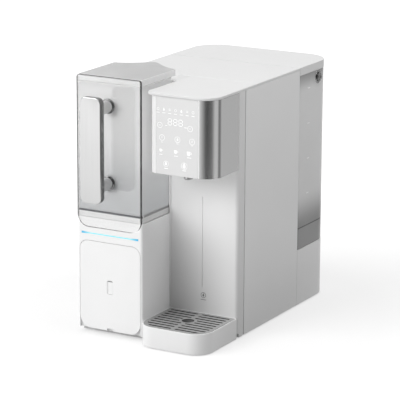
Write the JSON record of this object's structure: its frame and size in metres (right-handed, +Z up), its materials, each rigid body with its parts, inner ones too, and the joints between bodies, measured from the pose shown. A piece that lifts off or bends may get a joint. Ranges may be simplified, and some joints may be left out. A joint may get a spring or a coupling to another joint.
{
  "type": "countertop water purifier",
  "caption": "Countertop water purifier with a pull-out jug over a filter cabinet, a hot-water dispensing niche with drip tray, and a lift-out tank at the back.",
  "frame": {"origin": "centre of the footprint box, on the counter", "axes": "front faces -Y, +X to the right seen from the front, +Z up"},
  "size_m": [0.24, 0.4684, 0.417],
  "materials": {
    "white_plastic": "satin",
    "inner_plastic": "matte",
    "grey_plastic": "satin",
    "dark_plastic": "satin",
    "clear_plastic": "clear gloss",
    "smoke_plastic": "smoky gloss",
    "light_guide": "lit, translucent",
    "panel_glass": "gloss",
    "chrome_trim": "polished",
    "chrome_handle": "chrome plated",
    "rubber": "matte",
    "silicone": "matte",
    "hose": "translucent",
    "circuit_board": "satin",
    "motor_metal": "satin",
    "steel": "brushed"
  },
  "bodies": {
    "housing": {"base_pan": "inner_plastic", "bay_wall": "white_plastic", "cabinet_shell": "white_plastic", "case_screws": "steel", "display_board": "circuit_board", "door_catches": "inner_plastic", "filter_cradle": "inner_plastic", "filter_manifold": "inner_plastic", "front_frame": "white_plastic", "head_cover": "white_plastic", "head_shell": "white_plastic", "head_trim": "chrome_trim", "heater": "motor_metal", "jug_dock": "inner_plastic", "jug_dock_seal": "silicone", "left_side_panel": "white_plastic", "light_bar": "light_guide", "nozzle_collar": "chrome_trim", "outlet_nozzle": "dark_plastic", "power_board": "circuit_board", "power_inlet": "dark_plastic", "pump_bracket": "motor_metal", "pump_head": "inner_plastic", "pump_motor": "motor_metal", "pump_mounts": "rubber", "rear_base": "white_plastic", "right_side_panel": "white_plastic", "rubber_feet": "rubber", "solenoid_valves": "steel", "tank_bay_wall": "inner_plastic", "tank_dock": "inner_plastic", "tank_dock_seal": "silicone", "top_cover": "white_plastic", "touch_panel": "panel_glass", "water_lines": "hose"},
    "filter_door": {"filter_door": "white_plastic"},
    "latch": {"latch_button": "white_plastic"},
    "composite": {"composite_filter": "inner_plastic", "composite_seals": "silicone"},
    "membrane": {"membrane_filter": "inner_plastic", "membrane_seals": "silicone"},
    "tray": {"drip_tray": "white_plastic"},
    "grille": {"drip_grille": "grey_plastic"},
    "jug": {"jug_body": "clear_plastic", "jug_face": "clear_plastic", "jug_foot": "white_plastic", "jug_handle": "chrome_handle", "handle_posts": "chrome_handle", "jug_valve": "dark_plastic"},
    "jug_poppet": {"jug_poppet": "dark_plastic"},
    "jug_lid": {"jug_lid": "smoke_plastic", "jug_lid_seal": "silicone"},
    "tank": {"raw_tank": "smoke_plastic", "tank_base": "grey_plastic", "tank_strainer": "inner_plastic"},
    "tank_poppet": {"tank_poppet": "dark_plastic"},
    "tank_knob": {"tank_knob": "dark_plastic"},
    "tank_lid": {"tank_lid": "white_plastic"}
  },
  "joints": [
    {"name": "jug_slide", "type": "slide", "parent": "housing", "child": "jug", "axis": [0, -1, 0], "range_m": [0, 0.17]},
    {"name": "jug_lid_lift", "type": "slide", "parent": "jug", "child": "jug_lid", "axis": [0, 0, 1], "range_m": [0, 0.05]},
    {"name": "jug_valve_open", "type": "slide", "parent": "jug", "child": "jug_poppet", "axis": [0, -1, 0], "range_m": [0, 0.003], "stiffness_N_per_m": 150},
    {"name": "filter_door_pull", "type": "slide", "parent": "housing", "child": "filter_door", "axis": [0, -1, 0], "range_m": [0, 0.06]},
    {"name": "latch_press", "type": "slide", "parent": "filter_door", "child": "latch", "axis": [0, 1, 0], "range_m": [0, 0.002], "stiffness_N_per_m": 400},
    {"name": "composite_twist", "type": "hinge", "parent": "housing", "child": "composite", "pos_m": [-0.061, -0.06085, 0.1135], "axis": [0, 1, 0], "range_deg": [0, 90]},
    {"name": "membrane_twist", "type": "hinge", "parent": "housing", "child": "membrane", "pos_m": [-0.061, -0.06085, 0.0475], "axis": [0, 1, 0], "range_deg": [0, 90]},
    {"name": "tray_slide", "type": "slide", "parent": "housing", "child": "tray", "axis": [0, -1, 0], "range_m": [0, 0.12]},
    {"name": "grille_lift", "type": "slide", "parent": "tray", "child": "grille", "axis": [0, 0, 1], "range_m": [0, 0.05]},
    {"name": "tank_lift", "type": "slide", "parent": "housing", "child": "tank", "axis": [0, 0, 1], "range_m": [0, 0.32]},
    {"name": "tank_valve_open", "type": "slide", "parent": "tank", "child": "tank_poppet", "axis": [0, 0, 1], "range_m": [0, 0.003], "stiffness_N_per_m": 150},
    {"name": "tank_knob_turn", "type": "hinge", "parent": "tank", "child": "tank_knob", "pos_m": [0.116, 0.17715, 0.375], "axis": [1, 0, 0], "range_deg": [0, 90]},
    {"name": "tank_lid_lift", "type": "slide", "parent": "tank", "child": "tank_lid", "axis": [0, 0, 1], "range_m": [0, 0.08]}
  ]
}
